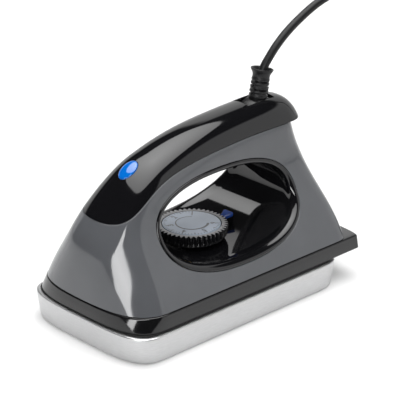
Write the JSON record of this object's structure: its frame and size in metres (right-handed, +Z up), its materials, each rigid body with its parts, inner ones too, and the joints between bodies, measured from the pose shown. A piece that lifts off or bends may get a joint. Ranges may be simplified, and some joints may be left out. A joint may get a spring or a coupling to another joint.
{
  "type": "ski and snowboard waxing iron",
  "caption": "Electric waxing iron with a thick flat sole, a loop handle, a heat dial inside the loop, a heel ledge and a mains cord on a swivelling strain relief.",
  "frame": {"origin": "under the middle of the iron without its cord, on the surface it stands on", "axes": "-Y to the nose, +Y to the heel and the cord, +Z up, X across"},
  "size_m": [0.09, 0.3457, 0.1525],
  "materials": {
    "aluminium": "brushed, fine horizontal grain",
    "grey_shell": "gloss, dark grey",
    "black_gloss": "gloss, black",
    "dark_satin": "satin, near black",
    "dial_black": "satin, black",
    "dial_pale": "printed scale disc, pale blue grey",
    "pointer_blue": "royal blue",
    "lens_blue": "clear tinted, bright blue",
    "rubber": "matt, near black",
    "steel": "plain",
    "brass": "plain",
    "ceramic": "glazed off-white insulator",
    "board": "green circuit board",
    "fibre": "dark woven or pressed fibre"
  },
  "bodies": {
    "housing": {"soleplate": "aluminium", "heating_element": "steel", "element_pin_left": "brass", "element_pin_right": "brass", "sole_gasket": "fibre", "base_skirt": "black_gloss", "body_shell": "grey_shell", "handle_liner": "black_gloss", "top_cover": "black_gloss", "indicator_lens": "lens_blue", "indicator_board": "board", "indicator_lamp": "lens_blue", "dial_pointer": "pointer_blue", "spindle_bush": "brass", "thermostat_base": "steel", "bimetal_strip": "brass", "contact_blade_lower": "brass", "contact_blade_upper": "brass", "thermostat_bridge": "steel", "thermostat_rivet": "brass", "ceramic_ring_lower": "ceramic", "ceramic_ring_middle": "ceramic", "ceramic_ring_upper": "ceramic", "terminal_block": "ceramic", "thermal_fuse": "steel", "earth_tag": "brass", "live_lead": "rubber", "neutral_lead": "rubber", "earth_lead": "rubber", "lamp_lead": "rubber", "cord_clamp": "dark_satin", "clamp_screw_left": "steel", "clamp_screw_right": "steel", "swivel_saddle_left": "dark_satin", "swivel_saddle_right": "dark_satin", "sole_screw_1": "steel", "sole_screw_2": "steel", "sole_screw_3": "steel", "sole_screw_4": "steel", "cord_run": "rubber", "cord_coil": "rubber", "cord_tie": "fibre", "cord_tail": "rubber", "plug_body": "rubber", "plug_blade_left": "brass", "plug_blade_right": "brass", "plug_earth_pin": "brass"},
    "dial": {"dial_knob": "dial_black", "dial_face": "dial_pale", "dial_spindle": "brass", "spindle_clip": "steel"},
    "cord_swivel": {"swivel_barrel": "dark_satin", "strain_relief": "rubber"}
  },
  "joints": [
    {"name": "dial_turn", "type": "hinge", "parent": "housing", "child": "dial", "pos_m": [0, -0.0043, 0.0362], "axis": [0, 0, 1], "range_deg": [-135, 135]},
    {"name": "cord_swivel", "type": "hinge", "parent": "housing", "child": "cord_swivel", "pos_m": [0, 0.042, 0.0903], "axis": [-1, 0, 0], "range_deg": [-36, 8], "deforming": ["cord_run"]}
  ]
}
